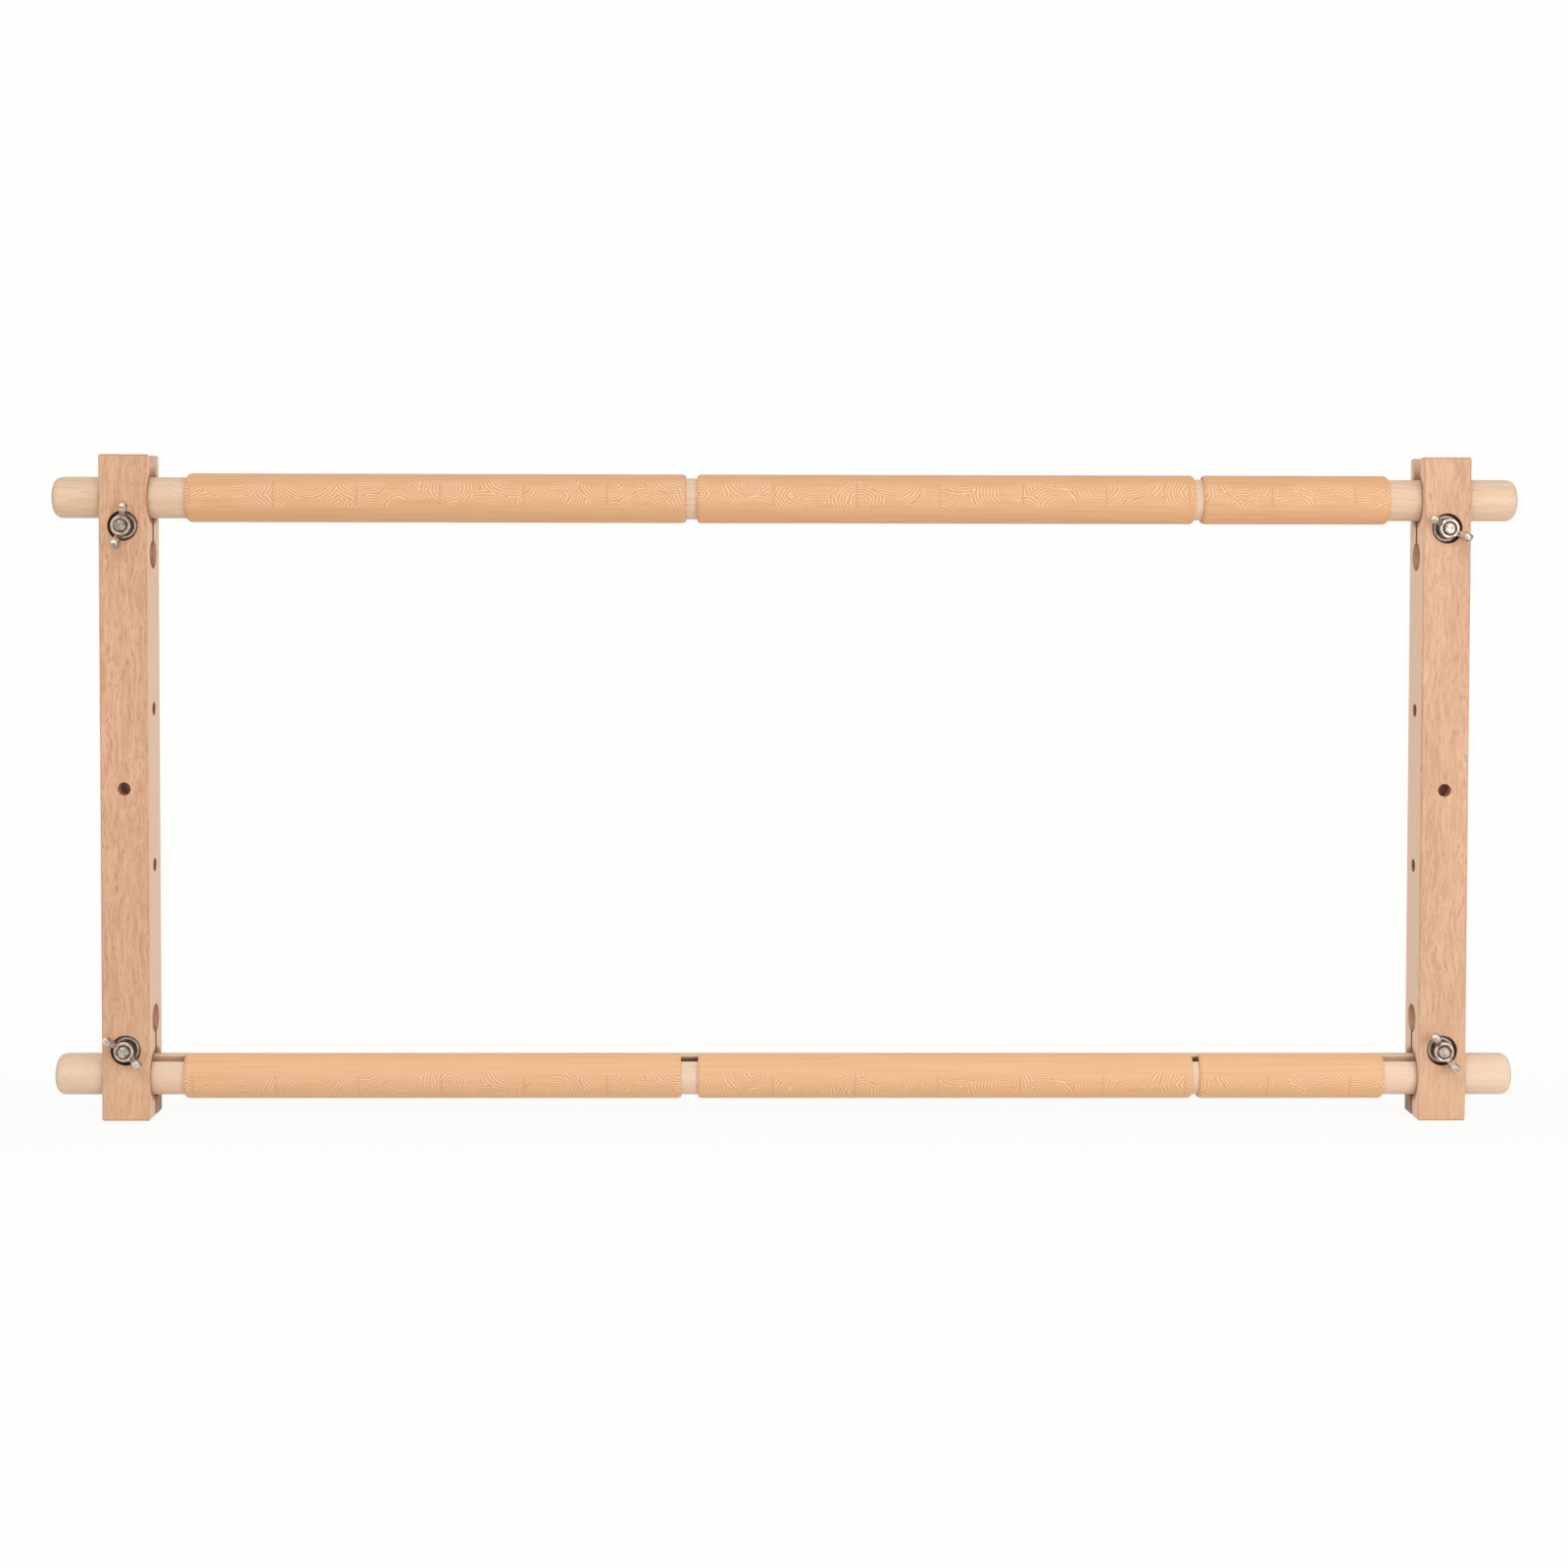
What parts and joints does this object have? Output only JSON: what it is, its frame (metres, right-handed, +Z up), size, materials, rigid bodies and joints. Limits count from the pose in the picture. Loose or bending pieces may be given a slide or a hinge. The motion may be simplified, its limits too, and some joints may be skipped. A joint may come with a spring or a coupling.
{
  "type": "embroidery scroll frame",
  "caption": "Wooden scroll frame for hand embroidery: two cloth rollers clamped in the split ends of two rails by wing nuts, with spring clips that hold the cloth.",
  "frame": {"origin": "on the floor under the middle of the frame: halfway between the rails, at the rails' mid-depth, at the level of their lower ends", "axes": "+X along the rollers to the right as seen from the front, +Y to the back, +Z up along the rails"},
  "size_m": [0.6716, 0.036, 0.305],
  "materials": {
    "beech": "fine-sanded, unvarnished",
    "pale_wood": "fine-sanded, unvarnished",
    "clip_plastic": "satin, with a faint moulded grain",
    "zinc": "bright zinc plate"
  },
  "bodies": {
    "left_side": {"left_rail": "beech", "top_left_bolt": "zinc", "bottom_left_bolt": "zinc"},
    "right_side": {"right_rail": "beech", "top_right_bolt": "zinc", "bottom_right_bolt": "zinc"},
    "top_roller": {"top_roller": "pale_wood"},
    "bottom_roller": {"bottom_roller": "pale_wood"},
    "top_left_clip": {"top_left_clip": "clip_plastic"},
    "top_middle_clip": {"top_middle_clip": "clip_plastic"},
    "top_short_clip": {"top_short_clip": "clip_plastic"},
    "bottom_left_clip": {"bottom_left_clip": "clip_plastic"},
    "bottom_middle_clip": {"bottom_middle_clip": "clip_plastic"},
    "bottom_short_clip": {"bottom_short_clip": "clip_plastic"},
    "top_left_washer": {"top_left_washer": "zinc"},
    "top_right_washer": {"top_right_washer": "zinc"},
    "bottom_left_washer": {"bottom_left_washer": "zinc"},
    "bottom_right_washer": {"bottom_right_washer": "zinc"},
    "top_left_wing_nut": {"top_left_wing_nut": "zinc"},
    "top_right_wing_nut": {"top_right_wing_nut": "zinc"},
    "bottom_left_wing_nut": {"bottom_left_wing_nut": "zinc"},
    "bottom_right_wing_nut": {"bottom_right_wing_nut": "zinc"}
  },
  "joints": [
    {"name": "right_rail_slide", "type": "slide", "parent": "left_side", "child": "right_side", "axis": [1, 0, 0], "range_m": [-0.012, 0.022]},
    {"name": "top_roller_turn", "type": "hinge", "parent": "left_side", "child": "top_roller", "pos_m": [0, 0, 0.2855], "axis": [1, 0, 0], "continuous": true},
    {"name": "bottom_roller_turn", "type": "hinge", "parent": "left_side", "child": "bottom_roller", "pos_m": [0, 0, 0.0195], "axis": [1, 0, 0], "continuous": true},
    {"name": "top_left_clip_slide", "type": "slide", "parent": "top_roller", "child": "top_left_clip", "axis": [1, 0, 0], "range_m": [-0.0162, 0.0049]},
    {"name": "top_middle_clip_slide", "type": "slide", "parent": "top_roller", "child": "top_middle_clip", "axis": [1, 0, 0], "range_m": [-0.0049, 0.0037]},
    {"name": "top_short_clip_slide", "type": "slide", "parent": "top_roller", "child": "top_short_clip", "axis": [1, 0, 0], "range_m": [-0.0037, 0.0142]},
    {"name": "bottom_left_clip_slide", "type": "slide", "parent": "bottom_roller", "child": "bottom_left_clip", "axis": [1, 0, 0], "range_m": [-0.0143, 0.0074]},
    {"name": "bottom_middle_clip_slide", "type": "slide", "parent": "bottom_roller", "child": "bottom_middle_clip", "axis": [1, 0, 0], "range_m": [-0.0074, 0.0028]},
    {"name": "bottom_short_clip_slide", "type": "slide", "parent": "bottom_roller", "child": "bottom_short_clip", "axis": [1, 0, 0], "range_m": [-0.0028, 0.0145]},
    {"name": "top_left_wing_nut_turn", "type": "hinge", "parent": "top_left_washer", "child": "top_left_wing_nut", "pos_m": [-0.302, -0.0095, 0.2725], "axis": [0, -1, 0], "range_deg": [0, 1080]},
    {"name": "top_left_washer_slide", "type": "slide", "parent": "left_side", "child": "top_left_washer", "axis": [0, -1, 0], "range_m": [0, 0.0024]},
    {"name": "top_right_wing_nut_turn", "type": "hinge", "parent": "top_right_washer", "child": "top_right_wing_nut", "pos_m": [0.302, -0.0095, 0.2725], "axis": [0, -1, 0], "range_deg": [0, 1080]},
    {"name": "top_right_washer_slide", "type": "slide", "parent": "right_side", "child": "top_right_washer", "axis": [0, -1, 0], "range_m": [0, 0.0024]},
    {"name": "bottom_left_wing_nut_turn", "type": "hinge", "parent": "bottom_left_washer", "child": "bottom_left_wing_nut", "pos_m": [-0.302, -0.0095, 0.0325], "axis": [0, -1, 0], "range_deg": [0, 1080]},
    {"name": "bottom_left_washer_slide", "type": "slide", "parent": "left_side", "child": "bottom_left_washer", "axis": [0, -1, 0], "range_m": [0, 0.0024]},
    {"name": "bottom_right_wing_nut_turn", "type": "hinge", "parent": "bottom_right_washer", "child": "bottom_right_wing_nut", "pos_m": [0.302, -0.0095, 0.0325], "axis": [0, -1, 0], "range_deg": [0, 1080]},
    {"name": "bottom_right_washer_slide", "type": "slide", "parent": "right_side", "child": "bottom_right_washer", "axis": [0, -1, 0], "range_m": [0, 0.0024]}
  ],
  "couplings": [
    {"joint": "top_left_wing_nut_turn", "follows": "top_left_washer_slide", "rad_per_m": 7854},
    {"joint": "top_right_wing_nut_turn", "follows": "top_right_washer_slide", "rad_per_m": 7854},
    {"joint": "bottom_left_wing_nut_turn", "follows": "bottom_left_washer_slide", "rad_per_m": 7854},
    {"joint": "bottom_right_wing_nut_turn", "follows": "bottom_right_washer_slide", "rad_per_m": 7854}
  ]
}
